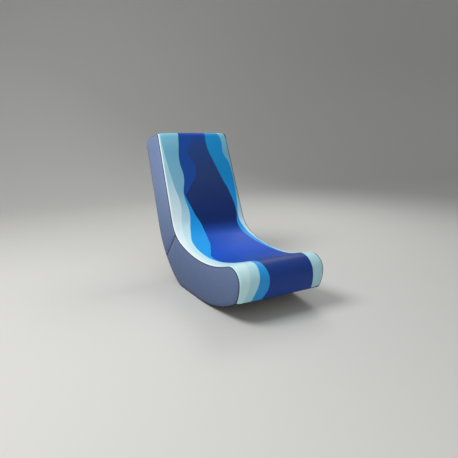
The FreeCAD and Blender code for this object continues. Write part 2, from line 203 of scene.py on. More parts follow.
# The side profile that all the upholstery follows, in millimetres: u runs forwards and z up.
# The front path runs from the rear of the top edge over the back, the lap, the seat and the
# nose to its foot; the rear path runs from there back along the base and up the rear.
MIDDLE = 401.473

# A path is lines, as (length, 0), and arcs, as (radius, degrees turned). The slit is cut at
# FOLD_HEADING from a point FOLD_TURN along the lap, and the hinge's axis lies AXIS_DEEP in it.
LAP_START, LAP_HEADING, LAP_RADIUS = (291.0, 270.6), -69.0, 142.35
FRONT_START, FRONT_HEADING = (5.668, 616.849), 111.0
FRONT_PATH = ((22.0, -95.0), (103.253, 0), (17.0, -85.0), (421.487, 0), (LAP_RADIUS, 50.0),
              (492.0, 41.3), (51.7, -112.3), (150.0, -28.3))
REAR_START, REAR_HEADING = (777.812, 78.064), 213.69
REAR_PATH = ((464.751, -33.69), (132.0, 0), (62.0, -23.5), (383.3, -45.5), (425.845, 0))
FOLD_HEADING, FOLD_TURN, AXIS_DEEP, SLIT_HALF = 234.0, 27.0, 4.8, 1.5


def heading_of(degrees):
    return math.cos(math.radians(degrees)), math.sin(math.radians(degrees))


def walk(start, heading, path, gap):
    """Points along lines and arcs about gap apart, each as (u, z, heading, distance)."""
    (u, z), done, found = start, 0.0, []
    for size, turn in path:
        length = abs(size * math.radians(turn)) if turn else size
        side = math.copysign(90, turn)
        centre = [a + size * b for a, b in zip((u, z), heading_of(heading + side))]

        def at(t):
            """The point and heading at part t of this line or arc."""
            if not turn:
                du, dz = heading_of(heading)
                return u + du * length * t, z + dz * length * t, heading
            du, dz = heading_of(heading - side + turn * t)
            return centre[0] + size * du, centre[1] + size * dz, heading + turn * t

        count = max(2, round(length / gap))
        found += [(*at(i / count), done + length * (i / count)) for i in range(count)]
        u, z, heading = at(1.0)
        done += length
    return found + [(u, z, heading, done)]


def into(point, deep):
    """The profile point that lies deep below a path point."""
    du, dz = heading_of(point[2] - 90)
    return point[0] + deep * du, point[1] + deep * dz


def place(u, z, x):
    return Vector((x, MIDDLE - u, z)) / 1000


fold_front = walk(LAP_START, LAP_HEADING, ((LAP_RADIUS, FOLD_TURN),), gap=5)[-1]
axis_point = tuple(a + AXIS_DEEP * b for a, b in zip(fold_front, heading_of(FOLD_HEADING)))


def across_slit(deep, side):
    """A profile point by its depth down the slit from the hinge and distance to the seat's side."""
    (a, b), (c, d) = heading_of(FOLD_HEADING), heading_of(FOLD_HEADING + 90)
    return axis_point[0] + deep * a + side * c, axis_point[1] + deep * b + side * d


def seat_side(point):
    """How far a profile point lies on the seat's side of the slit."""
    s, c = heading_of(FOLD_HEADING + 90)
    return (point[0] - axis_point[0]) * s + (point[1] - axis_point[1]) * c


def up_to_slit(points, side, gap):
    """The part of a path on one side of the slit, cut off at exactly this gap from its middle."""
    kept = []
    for p, q in zip(points, points[1:] + points[-1:]):
        a, b = side * seat_side(p) - gap, side * seat_side(q) - gap
        if a > 0:
            kept.append(p)
        if a * b < 0:
            t = a / (a - b)
            kept.append(tuple(m + (n - m) * t for m, n in zip(p, q)))
    return kept


def finish_mesh(piece, *modifiers):
    """Applies modifiers, given as (type, settings), to the piece's own mesh."""
    for kind, settings in modifiers:
        m = piece.modifiers.new(kind.lower(), kind)
        for key, value in settings.items():
            setattr(m, key, value)
    evaluated = piece.evaluated_get(bpy.context.evaluated_depsgraph_get())
    mesh = bpy.data.meshes.new_from_object(evaluated)
    piece.modifiers.clear()
    old, piece.data = piece.data, mesh
    bpy.data.meshes.remove(old)
    mesh.name = piece.name
    for face in mesh.polygons:
        face.use_smooth = True


# Black spunbond cloth closes the base, the rear of the back and the two faces in the slit. It is
# a thin felted polypropylene with a pressed dot pattern, pulled over the boards and stapled.
def black_cloth():
    """Felted fibres: matt and nearly black, with a faint sheen and a small regular dimple."""
    m, tree, shader = new_material("black_spunbond_cloth")
    at_object = add(tree, "ShaderNodeTexCoord").outputs["Object"]
    # dots 2.2 mm apart, fibres in tufts of 0.9 mm, and a slow drift of the tone
    dots = add(tree, "ShaderNodeTexVoronoi", {"feature": "F1"}, Vector=at_object,
               Scale=1000 / 2.2, Randomness=0.15)
    fibres = add(tree, "ShaderNodeTexNoise", Vector=at_object, Scale=1000 / 0.9, Detail=5.0)
    drift = add(tree, "ShaderNodeTexNoise", Vector=at_object, Scale=9.0, Detail=3.0)
    tone = add(tree, "ShaderNodeMix", {"data_type": "RGBA"}, Factor=drift.outputs["Fac"],
               i6=hex_colour("#17181B"), i7=hex_colour("#26272B"))
    tree.links.new(tone.outputs[2], shader.inputs["Base Color"])
    shader.inputs["Roughness"].default_value = 0.88
    shader.inputs["Sheen Weight"].default_value = 0.25
    shader.inputs["Sheen Roughness"].default_value = 0.5
    low = add(tree, "ShaderNodeBump", Strength=0.35, Distance=0.0003,
              Height=dots.outputs["Distance"])
    fine = add(tree, "ShaderNodeBump", Strength=0.25, Distance=0.0002,
               Height=fibres.outputs["Fac"], Normal=low.outputs[0])
    tree.links.new(fine.outputs[0], shader.inputs["Normal"])
    return m


spunbond = black_cloth()
CLOTH_HALF, CLOTH_CELLS, CLOTH_THICK = 201.2, 46, 0.0009
CLOTH_CLEAR, SLIT_CLEAR = 0.15, 0.15  # under the profile, and from the slit's edge
RIPPLE, RIPPLE_ACROSS, RIPPLE_ALONG = 1.6, 0.012, 0.009  # a share of the sag, and waves per mm
rear_walk = walk(REAR_START, REAR_HEADING, REAR_PATH, gap=8.0)
base_walk = up_to_slit(rear_walk, 1, SLIT_HALF + SLIT_CLEAR)
back_walk = up_to_slit(rear_walk, -1, SLIT_HALF + SLIT_CLEAR)
slit_end = math.dist(base_walk[-1][:2], axis_point)


def cloth_strip(name, points, body, replaced, sag):
    """A cloth over the whole width along a path, that sags between its stapled edges."""
    rows = []
    for k, p in enumerate(points):
        row = []
        for c in range(CLOTH_CELLS + 1):
            x = -CLOTH_HALF + 2 * CLOTH_HALF * c / CLOTH_CELLS
            loose = math.sin(math.pi * c / CLOTH_CELLS) * math.sin(math.pi * k / (len(points) - 1))
            ripple = noise.noise(Vector((
                x * RIPPLE_ACROSS, p[3] * RIPPLE_ALONG, sag))) * RIPPLE
            row.append(place(*into(p, CLOTH_CLEAR + max(0.0, sag * loose * (1.0 + ripple))), x))
        rows.append(row)
    piece = grid_piece(name, rows)
    finish_mesh(piece, ("SOLIDIFY", {"thickness": CLOTH_THICK, "offset": -1.0}),
                ("SUBSURF", {"levels": 1, "render_levels": 1}))
    piece.data.materials.append(spunbond)
    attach(piece, body)
    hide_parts(replaced)


cloth_strip("underside_cloth", base_walk, "seat", "seat_dust_cover", sag=0.0)
cloth_strip("rear_cloth", back_walk, "back", "back_rear_cover", sag=1.2)

# the two faces in the slit: where their cloth starts below the axis, how much shorter than the
# slit it is, how far it lies inside the slit's face, and its sag
END_START, END_SHORTER, END_CLEAR, END_SAG = 3.6, 4.4, 0.1, 0.25
END_ROWS, END_CELLS, END_THICK = 20, 24, 0.0007
end_run = slit_end - END_SHORTER
for name, side, body in (("seat_end_cloth", 1, "seat"), ("back_end_cloth", -1, "back")):
    rows = [[place(*across_slit(END_START + end_run * r / END_ROWS, side * (
        SLIT_HALF + END_CLEAR + END_SAG * math.sin(math.pi * c / END_CELLS)
        * math.sin(math.pi * r / END_ROWS))), -CLOTH_HALF + 2 * CLOTH_HALF * c / END_CELLS)
        for c in range(END_CELLS + 1)] for r in range(END_ROWS + 1)]
    piece = grid_piece(name, rows)
    finish_mesh(piece, ("SOLIDIFY", {"thickness": END_THICK, "offset": 1.0 if side > 0 else -1.0}))
    piece.data.materials.append(spunbond)
    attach(piece, body)
    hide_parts(body + "_end_cover")


# The side pads: sewn polyester cloth over soft foam, glued to the ribs, one on the back and one
# on the seat on each side. Their faces are gently crowned and roll in to the seam all round.
def pad_cloth():
    """Plain woven polyester: a soft sheen over a diagonal weave with pale and dark flecks."""
    m, tree, shader = new_material("blue_grey_polyester_cloth")
    at_object = add(tree, "ShaderNodeTexCoord").outputs["Object"]
    turned = add(tree, "ShaderNodeMapping", Vector=at_object,
                 Rotation=(math.radians(45), 0, 0)).outputs[0]
    parts = add(tree, "ShaderNodeSeparateXYZ", Vector=turned)
    # threads really lie 0.5 mm apart; they are drawn 1.6 mm apart, so that they show
    drawn_mm = 1.6
    warp, weft = (add(tree, "ShaderNodeMath", {"operation": "SINE"}, i0=add(
        tree, "ShaderNodeMath", {"operation": "MULTIPLY"}, i0=parts.outputs[axis],
        i1=6283.2 / drawn_mm).outputs[0]) for axis in "YZ")
    weave = add(tree, "ShaderNodeMath", {"operation": "MULTIPLY"}, i0=warp.outputs[0],
                i1=weft.outputs[0])
    slub = add(tree, "ShaderNodeTexNoise", Vector=at_object, Scale=1000 / 2.5, Detail=4.0)
    cloud = add(tree, "ShaderNodeTexNoise", Vector=at_object, Scale=9.0, Detail=5.0,
                Roughness=0.65)
    # painted shade: darker towards the floor and paler with height, as the lamps light the pads,
    # over a cloudy random tone
    height = add(tree, "ShaderNodeSeparateXYZ", Vector=at_object).outputs["Z"]
    cloud_and_height_shade = add(tree, "ShaderNodeMath", {"operation": "MULTIPLY_ADD"}, i0=cloud.outputs["Fac"],
               i1=0.3, i2=add(tree, "ShaderNodeMapRange", Value=height, From_Min=0.02,
                              From_Max=0.42, To_Min=-0.15, To_Max=0.85).outputs[0])
    raised = add(tree, "ShaderNodeMath", {"operation": "MULTIPLY_ADD"}, i0=slub.outputs["Fac"],
                 i1=0.8, i2=weave.outputs[0])
    tone = add(tree, "ShaderNodeMix", {"data_type": "RGBA", "clamp_factor": True},
               Factor=cloud_and_height_shade.outputs[0], i6=hex_colour("#54668A"), i7=hex_colour("#7C91B9"))
    dark_share = add(tree, "ShaderNodeMapRange", Value=raised.outputs[0], From_Min=-0.6,
                     From_Max=1.4, To_Min=0.3, To_Max=0.0)
    fleck = add(tree, "ShaderNodeMix", {"data_type": "RGBA", "blend_type": "MULTIPLY"},
                Factor=dark_share.outputs[0], i6=tone.outputs[2], i7=hex_colour("#7C88A8"))
    tree.links.new(fleck.outputs[2], shader.inputs["Base Color"])
    shader.inputs["Roughness"].default_value = 0.8
    shader.inputs["Sheen Weight"].default_value = 0.18
    shader.inputs["Sheen Roughness"].default_value = 0.45
    shader.inputs["Sheen Tint"].default_value = hex_colour("#B4C4E6")
    bump = add(tree, "ShaderNodeBump", Strength=0.4, Distance=0.0004, Height=raised.outputs[0])
    tree.links.new(bump.outputs[0], shader.inputs["Normal"])
    return m


polyester = pad_cloth()
PAD_IN, PAD_SET_IN, PAD_ROLL = 201.4, 2.5, 20.0
PAD_SEAM_RISE, PAD_ROLL_RISE, PAD_CROWN_RISE, PAD_CROWN_REACH = 0.5, 8.4, 5.2, 38
PUCKER, PUCKERS_PER_MM, PUCKER_REACH = 1.0, 0.07, 22  # along the seam
SLACK, SLACKS_PER_MM = 0.5, 0.017  # all over the face
PAD_EDGE_GAP, PAD_KEEP_OFF = 0.3, 0.6  # from the slit's edge: the seam's corners, and the rest
HEAD_RADIUS, TAIL_RADIUS, FOOT_RADIUS = 10.0, 8.0, 17.0
NOSE_FOOT = (777.8, 78.1, 200.0)
RING_DEPTHS, FILL_PITCH, FILL_DEPTH = (1.6, 4.2, 8.0, 12.5), 6.5, 16.0


def rounded(points, corners):
    """A closed outline of profile points, with the named corners cut to arcs of a radius."""
    found = list(points)
    for corner, radius in corners:
        k = min(range(len(found)), key=lambda i: math.dist(found[i], corner))
        tip, n, ends, steps = Vector(found[k]), len(found), [], []
        for way in (-1, 1):
            step, end = 0, tip.copy()
            while (end - tip).length < radius:
                step += 1
                end = Vector(found[(k + way * step) % n])
            steps.append(step)
            ends.append(tip + (end - tip).normalized() * radius)
        a, b = ends
        curve = [tuple(a.lerp(tip, t).lerp(tip.lerp(b, t), t)) for t in (s / 6 for s in range(7))]
        found = [found[(k + steps[1] + m) % n] for m in range(n - sum(steps) + 1)] + curve
    return found


def evenly(points, gap):
    """The same closed outline with its points the same distance apart."""
    loop = [Vector(p) for p in points] + [Vector(points[0])]
    total = sum((b - a).length for a, b in zip(loop, loop[1:]))
    count = round(total / gap)
    out, want, run = [], 0.0, 0.0
    for a, b in zip(loop, loop[1:]):
        span = (b - a).length
        while span > 1e-6 and want <= run + span and len(out) < count:
            out.append(tuple(a.lerp(b, (want - run) / span)))
            want += total / count
        run += span
    return out


def pad_outline(side):
    """The seam of the seat's pads, for side 1, or of the back's, for side -1."""
    front = walk(FRONT_START, FRONT_HEADING, FRONT_PATH, gap=4.0)
    rear = walk(REAR_START, REAR_HEADING, REAR_PATH, gap=4.0)
    way_round = front[1:] + rear if side > 0 else rear + front
    ring = [into(p, PAD_SET_IN) for p in way_round
            if side * seat_side(p) > SLIT_HALF + PAD_KEEP_OFF]
    head = across_slit(-AXIS_DEEP + PAD_SET_IN, side * (SLIT_HALF + PAD_EDGE_GAP))
    tail = across_slit(slit_end - PAD_SET_IN, side * (SLIT_HALF + PAD_EDGE_GAP))
    ring = [head] + ring + [tail] if side > 0 else [tail] + ring + [head]
    ring += [tuple(Vector(ring[-1]).lerp(Vector(ring[0]), t / 36)) for t in range(1, 36)]
    corners = [(head, HEAD_RADIUS), (tail, TAIL_RADIUS)]
    if side > 0:
        corners.append((into(NOSE_FOOT, PAD_SET_IN), FOOT_RADIUS))
    return evenly(rounded(ring, corners), gap=5.0)


def edge_distance(p, loop):
    """How far a point lies from a closed outline."""
    best = 1e9
    for a, b in zip(loop, loop[1:] + loop[:1]):
        ab, ap = (b[0] - a[0], b[1] - a[1]), (p[0] - a[0], p[1] - a[1])
        t = max(0.0, min(1.0, (ap[0] * ab[0] + ap[1] * ab[1]) / (ab[0] ** 2 + ab[1] ** 2 + 1e-9)))
        best = min(best, (ap[0] - t * ab[0]) ** 2 + (ap[1] - t * ab[1]) ** 2)
    return math.sqrt(best)


def within(p, loop):
    hit = False
    for a, b in zip(loop, loop[1:] + loop[:1]):
        if (a[1] > p[1]) != (b[1] > p[1]) and \
                p[0] < (b[0] - a[0]) * (p[1] - a[1]) / (b[1] - a[1]) + a[0]:
            hit = not hit
    return hit


def pad_points(outline):
    """Points for a pad's face: rings that follow the seam, and a staggered fill inside them."""
    us, zs, n, found = [p[0] for p in outline], [p[1] for p in outline], len(outline), []
    for deep in RING_DEPTHS:
        for i in range(n):
            way = (Vector(outline[(i + 1) % n]) - Vector(outline[i - 1])).normalized()
            p = Vector(outline[i]) + deep * Vector((way[1], -way[0]))
            if within(p, outline) and edge_distance(p, outline) > deep - 0.4:
                found.append(tuple(p))
    row, z = 0, min(zs)
    while z < max(zs):
        u = min(us) + (FILL_PITCH / 2 if row % 2 else 0)
        while u < max(us):
            if within((u, z), outline) and edge_distance((u, z), outline) > FILL_DEPTH:
                found.append((u, z))
            u += FILL_PITCH
        z += FILL_PITCH * 0.866
        row += 1
    return found


def pillow(name, outline, seed):
    """A closed pad: a flat back, and a face that rolls up from the seam to a low crown."""
    n = len(outline)
    pts = [Vector(p) for p in outline + pad_points(outline)]
    got = delaunay_2d_cdt(pts, [(i, (i + 1) % n) for i in range(n)], [list(range(n))], 1, 1e-4)
    flat, tris = got[0], got[2]
    deep = [edge_distance(p, outline) for p in flat]
    mesh = bpy.data.meshes.new(name)
    verts, faces = [], []
    for p, d in zip(flat, deep):
        t = min(1.0, d / PAD_ROLL)
        roll = math.sqrt(max(0.0, 1 - (1 - t) ** 2))
        pucker = PUCKER * noise.noise(Vector((
            p[0] * PUCKERS_PER_MM, p[1] * PUCKERS_PER_MM, seed))) * math.exp(-d / PUCKER_REACH)
        slack = SLACK * noise.noise(Vector((
            p[0] * SLACKS_PER_MM, p[1] * SLACKS_PER_MM, seed + 5)))
        crown = 1 - math.exp(-max(0.0, d - 6) / PAD_CROWN_REACH)
        rise = PAD_SEAM_RISE + PAD_ROLL_RISE * roll + PAD_CROWN_RISE * crown + \
            (pucker + slack) * min(1.0, d / 4)
        verts.append(place(p[0], p[1], PAD_IN + rise))
    top = len(verts)
    verts += [place(p[0], p[1], PAD_IN) for p in flat]
    for a, b, c in tris:
        faces += [(a, b, c), (top + a, top + c, top + b)]
    rim = [i for i, d in enumerate(deep) if d < 0.01]
    on_rim = set(rim)
    uses = Counter(frozenset(e) for a, b, c in tris for e in ((a, b), (b, c), (c, a)))
    for a, b, c in tris:
        for e, f in ((a, b), (b, c), (c, a)):
            if e in on_rim and f in on_rim and uses[frozenset((e, f))] == 1:
                faces.append((f, e, top + e, top + f))
    mesh.from_pydata(verts, [], faces)
    piece = bpy.data.objects.new(name, mesh)
    scene.collection.objects.link(piece)
    held = piece.vertex_groups.new(name="held")
    held.add(list(range(top, 2 * top)), 1.0, "REPLACE")
    held.add(rim, 1.0, "REPLACE")
    return piece


def puff(piece, pressure, cap, frames=20):
    """Fills a closed cushion with air as cloth, and keeps each point within cap of its place."""
    start = [v.co.copy() for v in piece.data.vertices]
    cloth = piece.modifiers.new("cloth", "CLOTH")
    use = cloth.settings
    use.quality = 6
    use.mass = 0.25
    use.tension_stiffness = use.compression_stiffness = use.shear_stiffness = 12.0
    use.bending_stiffness = 0.6
    use.use_pressure = True
    use.uniform_pressure_force = pressure
    use.vertex_group_mass = "held"
    use.effector_weights.gravity = 0.0
    cloth.collision_settings.use_collision = False
    cloth.point_cache.frame_end = frames
    for f in range(1, frames + 1):
        scene.frame_set(f)
    moved = piece.evaluated_get(bpy.context.evaluated_depsgraph_get()).data
    shift = [v.co - s for v, s in zip(moved.vertices, start)]
    piece.modifiers.clear()
    for v, s, d in zip(piece.data.vertices, start, shift):
        v.co = s + d * min(1.0, cap / max(d.length, 1e-9))
    scene.frame_set(1)


for body, side in (("seat", 1), ("back", -1)):
    pad = pillow(body + "_side_pad", pad_outline(side), seed=3.7 + side)
    puff(pad, pressure=3.0, cap=0.0025)
    finish_mesh(pad, ("SUBSURF", {"levels": 1, "render_levels": 1}))
    for tag, flip in (("right", 1), ("left", -1)):
        mesh = pad.data.copy()
        if flip < 0:
            for v in mesh.vertices:
                v.co.x = -v.co.x
            mesh.flip_normals()
        made = bpy.data.objects.new(f"{body}_side_pad_{tag}", mesh)
        scene.collection.objects.link(made)
        b = bmesh.new()
        b.from_mesh(mesh)
        bmesh.ops.recalc_face_normals(b, faces=b.faces)
        b.to_mesh(mesh)
        b.free()
        dress(mesh, polyester)
        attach(made, body)
        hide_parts(f"{body}_side_cover_{tag}", f"{body}_side_foam_{tag}")
    bpy.data.objects.remove(pad)


# The printed cover: one smooth coated cloth over the foam of the back, the lap, the seat and the
# nose. It is pulled over the long edges and turned in under the side pads.
COVER_HALF, EDGE_ROUND, FLANGE, CROWN = 200.9, 7.0, 17.0, 3.0
MAP_LONG, MAP_WIDE, FADE_LONG = 1400, 400, 1.25  # the print's map in mm, and its fades of print colour with painted light and shade in metres


def printed_cover():
    """Coated cloth: a low satin gloss on a fine pebble, over a print of layered waves in ice
    blue, mid blue and navy, with painted light and shade along the cover, a painted highlight on
    its left rolled edge and painted shade on its turned-in flanges. The map's U runs across from
    the left edge and V along from the top."""
    m, tree, shader = new_material("printed_polyurethane_cover")
    uv = add(tree, "ShaderNodeUVMap", {"uv_map": "cover_mm"}).outputs[0]
    parts = add(tree, "ShaderNodeSeparateXYZ", Vector=uv)
    across, along = parts.outputs["X"], parts.outputs["Y"]

    def curve(points):
        """A band edge in millimetres across, through (along, across) points."""
        c = add(tree, "ShaderNodeFloatCurve", i1=add(
            tree, "ShaderNodeMapRange", Value=along, From_Min=0.0,
            From_Max=MAP_LONG / 1000).outputs[0])
        table = c.mapping.curves[0]
        while len(table.points) > 2:
            table.points.remove(table.points[-1])
        for k, (v, u) in enumerate(points):
            if k < 2:
                table.points[k].location = (v / MAP_LONG, u / MAP_WIDE)
            else:
                table.points.new(v / MAP_LONG, u / MAP_WIDE)
        c.mapping.update()
        return add(tree, "ShaderNodeMath", {"operation": "MULTIPLY"}, i0=c.outputs[0],
                   i1=MAP_WIDE / 1000).outputs[0]

    def layer(under, colour, edge, left):
        """Lays a colour over the one beneath, on the left or right of an edge."""
        more, less = (edge, across) if left else (across, edge)
        away = add(tree, "ShaderNodeMath", {"operation": "SUBTRACT"}, i0=more, i1=less)
        soft = add(tree, "ShaderNodeMapRange", Value=away.outputs[0], From_Min=-0.0005,
                   From_Max=0.0005)
        return add(tree, "ShaderNodeMix", {"data_type": "RGBA"}, Factor=soft.outputs[0], i6=under,
                   i7=hex_colour(colour) if isinstance(colour, str) else colour).outputs[2]

    def fade_with_painted_light(*stops):
        """A colour that changes along the cover, through (part of its length, colour), carrying
        painted light and shade.
        """
        made = add(tree, "ShaderNodeValToRGB", i0=add(
            tree, "ShaderNodeMapRange", Value=along, From_Min=0.0, From_Max=FADE_LONG).outputs[0])
        while len(made.color_ramp.elements) < len(stops):
            made.color_ramp.elements.new(0.5)
        for e, (spot, tint) in zip(made.color_ramp.elements, stops):
            e.position, e.color = spot, hex_colour(tint)
        return made.outputs[0]

    # painted light and shade: each print colour is paler on the top, the lap and the seat, and
    # darker down the back's face, at its foot and on the nose, as the lamps light them; the pale
    # bands go near-white on the lap as a painted reflection
    navy = fade_with_painted_light((0.0, "#1450C2"), (0.12, "#1A49AC"), (0.17, "#274787"), (0.30, "#2A4174"),
                (0.42, "#1D3470"), (0.49, "#14306C"), (0.55, "#1450BE"), (0.66, "#1054CC"),
                (0.80, "#1C4EB4"), (0.88, "#233F86"), (1.0, "#1C4094"))
    deep = fade_with_painted_light((0.0, "#1450B4"), (0.2, "#1E4C9A"), (0.5, "#1C4FA8"), (0.7, "#1B60D4"),
                (1.0, "#2450A4"))
    sky = fade_with_painted_light((0.0, "#1C9BD8"), (0.3, "#188BCB"), (0.48, "#1FA0EE"), (0.75, "#22A6F4"),
               (1.0, "#3396DA"))
    ice = fade_with_painted_light((0.0, "#94DCEE"), (0.13, "#7FC4DA"), (0.20, "#70B0CB"), (0.36, "#80B8CE"),
               (0.5, "#CDEFF6"), (0.85, "#BDE8F0"), (1.0, "#A4D4DE"))
    frost = fade_with_painted_light((0.0, "#A8E4F2"), (0.3, "#A2D4E2"), (0.47, "#E6F8FB"), (0.8, "#D4F2F6"),
                 (1.0, "#BEE6EA"))
    painted_highlight_edge, flange_groove_shade = "#F2FAFC", "#28324C"
    colour = navy
    for tint, left, edge in (
            (deep, True, ((0, 196), (180, 180), (260, 152), (340, 176), (430, 128), (560, 40),
                          (1400, 0))),
            (sky, True, ((0, 60), (400, 60), (480, 92), (560, 122), (640, 150), (720, 138),
                         (800, 98), (880, 60), (980, 60), (1040, 96), (1110, 124), (1180, 130),
                         (1250, 106), (1400, 100))),
            (ice, True, ((0, 116), (90, 120), (200, 106), (300, 92), (380, 101), (470, 84),
                         (560, 97), (640, 80), (720, 54), (820, 46), (930, 52), (1010, 72),
                         (1080, 96), (1150, 88), (1250, 60), (1400, 60))),
            (frost, True, ((0, 8), (160, 10), (300, 22), (420, 40), (520, 58), (600, 46),
                           (700, 32), (800, 22), (900, 30), (1000, 34), (1080, 56), (1160, 44),
                           (1250, 24), (1400, 20))),
            # a near-white painted highlight along the left rolled edge, from the top down to the
            # seat's front
            (painted_highlight_edge, True, ((0, 6), (500, 6), (900, 6), (1010, 3), (1100, -2), (1400, -2))),
            # painted shade: the left turned-in flange darkened where it goes down into the groove
            # by the pad
            (flange_groove_shade, True, ((0, -0.5), (700, -0.5), (1400, -0.5))),
            (sky, False, ((0, 262), (120, 272), (220, 268), (310, 292), (400, 322), (480, 352),
                          (570, 366), (640, 352), (730, 362), (860, 376), (980, 368),
                          (1060, 372), (1400, 372))),
            (ice, False, ((0, 330), (130, 344), (200, 366), (260, 362), (320, 386), (420, 392),
                          (520, 384), (600, 372), (680, 382), (800, 390), (900, 384), (980, 366),
                          (1060, 350), (1140, 344), (1250, 352), (1400, 350))),
            # painted shade: the right turned-in flange darkened the same way
            (flange_groove_shade, False, ((0, 403), (700, 403), (1400, 403)))):
        colour = layer(colour, tint, curve(edge), left)
    tree.links.new(colour, shader.inputs["Base Color"])
    # the coating's pebble is 1.6 mm across
    grain = add(tree, "ShaderNodeTexVoronoi", {"feature": "DISTANCE_TO_EDGE"}, Vector=uv,
                Scale=1000 / 1.6, Randomness=1.0)
    swell = add(tree, "ShaderNodeTexNoise", Vector=uv, Scale=26.0, Detail=2.0)
    shader.inputs["Roughness"].default_value = 0.46
    shader.inputs["Specular IOR Level"].default_value = 0.14
    slow = add(tree, "ShaderNodeBump", Strength=0.25, Distance=0.003, Height=swell.outputs["Fac"])
    fine = add(tree, "ShaderNodeBump", Strength=0.12, Distance=0.0002,
               Height=grain.outputs["Distance"], Normal=slow.outputs[0])
    tree.links.new(fine.outputs[0], shader.inputs["Normal"])
    return m


# where along the cover the lap's creases and the top's front corners are, and how far they reach
LAP_AT, LAP_REACH, CORNER_AT, CORNER_REACH = 645, 60, 151, 17
CORNER_DROP, CORNER_DRAW, CORNER_WIDE = 4.5, 2.2, 9
# the gathers along the sewn edges and the creases of the lap: depth, reach and waves per mm
GATHER, GATHER_REACH, GATHERS_PER_MM = 0.9, 16, 0.045
CREASE, CREASE_REACH, CREASES_ACROSS, CREASES_ALONG = 1.5, 90, 0.006, 0.07
FLAT_CELLS, HELD_COLUMNS, MAP_START = 44, 6, 0.014
cover_walk = walk(FRONT_START, FRONT_HEADING, FRONT_PATH, gap=7.5)
edge = [(-COVER_HALF, FLANGE - i * (FLANGE - EDGE_ROUND) / 3) for i in range(3)]
for i in range(9):
    a = math.radians(180 - i * 90 / 8)
    edge.append((-COVER_HALF + EDGE_ROUND + EDGE_ROUND * math.cos(a),
                 EDGE_ROUND - EDGE_ROUND * math.sin(a)))
flat_half = COVER_HALF - EDGE_ROUND
section = edge + [(-flat_half + 2 * flat_half * i / FLAT_CELLS, 0.0)
                  for i in range(1, FLAT_CELLS)] + [(-x, d) for x, d in reversed(edge)]
rows = []
for p in cover_walk:
    row = []
    lap = math.exp(-((p[3] - LAP_AT) / LAP_REACH) ** 2)
    corner = math.exp(-((p[3] - CORNER_AT) / CORNER_REACH) ** 2)
    for x, d in section:
        inner = max(0.0, flat_half - abs(x))
        crown = CROWN * max(0.0, 1 - (x / flat_half) ** 2) ** 0.6 if inner else 0.0
        gather = noise.noise(Vector((math.copysign(7, x), p[3] * GATHERS_PER_MM, 1.3)))
        crease = noise.noise(Vector((x * CREASES_ACROSS, p[3] * CREASES_ALONG, 8.1)))
        crown += GATHER * gather * math.exp(-inner / GATHER_REACH) * (d < EDGE_ROUND)
        crown -= lap * abs(crease) * CREASE * math.exp(-inner / CREASE_REACH) * (d < 1.0)
        drop, draw = (size * corner * math.exp(-(inner / CORNER_WIDE) ** 2)
                      * max(0.0, 1 - d / FLANGE) for size in (CORNER_DROP, CORNER_DRAW))
        crown -= drop
        row.append(place(*into(p, d - crown), x - math.copysign(draw, x)))
    rows.append(row)
cover = grid_piece("printed_cover", rows)
uv = cover.data.uv_layers.new(name="cover_mm")
lengths = [0.0]
for (xa, da), (xb, db) in zip(section, section[1:]):
    lengths.append(lengths[-1] + math.hypot(xb - xa, db - da))
wide = len(section)
for loop in cover.data.loops:
    r, c = divmod(loop.vertex_index, wide)
    uv.data[loop.index].uv = (lengths[c] / 1000 - MAP_START, cover_walk[r][3] / 1000)
held = cover.vertex_groups.new(name="held")
held.add([r * wide + c for r in range(len(rows)) for c in range(wide)
          if c < HELD_COLUMNS or c > wide - 1 - HELD_COLUMNS or r in (0, len(rows) - 1)],
         1.0, "REPLACE")
puff(cover, pressure=1.2, cap=0.002)
finish_mesh(cover, ("SOLIDIFY", {"thickness": 0.0012, "offset": -1.0}),
            ("SUBSURF", {"levels": 1, "render_levels": 1}))
cover.data.materials.append(printed_cover())


def fold_at_slit(piece):
    """Bakes the piece's transform into its mesh; it is not bent over the hinge."""
    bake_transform(piece)


fold_at_slit(cover)
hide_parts("back_cover", "seat_cover", "fold_cover", "back_foam", "seat_foam")


# Seams and fastenings. A black welt lies in the groove between the cover and each side pad, as
# painted shade in that groove; a rolled black hem along the nose's foot is painted shade under
# the nose; hems are sewn, and the base cloth is stapled.
def path_tool(name, sizes):
    """A geometry node group with a path, named sizes in metres and a material as its inputs."""
    tree = bpy.data.node_groups.new(name, "GeometryNodeTree")
    tree.interface.new_socket("Path", in_out="INPUT", socket_type="NodeSocketGeometry")
    for size, value in sizes:
        made = tree.interface.new_socket(size, in_out="INPUT", socket_type="NodeSocketFloat")
        made.default_value = value
    tree.interface.new_socket("Material", in_out="INPUT", socket_type="NodeSocketMaterial")
    tree.interface.new_socket("Mesh", in_out="OUTPUT", socket_type="NodeSocketGeometry")
    inputs = tree.nodes.new("NodeGroupInput").outputs
    curve = add(tree, "GeometryNodeMeshToCurve", Mesh=inputs["Path"]).outputs[0]
    return tree, inputs, curve


def path_result(tree, inputs, mesh):
    """Ends a path tool: smooth shading, then the material."""
    smooth = add(tree, "GeometryNodeSetShadeSmooth", Geometry=mesh)
    painted = add(tree, "GeometryNodeSetMaterial", Geometry=smooth.outputs[0],
                  Material=inputs["Material"])
    add(tree, "NodeGroupOutput", Mesh=painted.outputs[0])


cord_tool, inputs, curve = path_tool("cord_along_path", [("Cord radius", 0.0015)])
ring_curve = add(cord_tool, "GeometryNodeCurvePrimitiveCircle", {"mode": "RADIUS"},
                 Resolution=8, Radius=inputs["Cord radius"])
tube = add(cord_tool, "GeometryNodeCurveToMesh", Curve=curve, Profile_Curve=ring_curve.outputs[0],
           Fill_Caps=True)
path_result(cord_tool, inputs, tube.outputs[0])

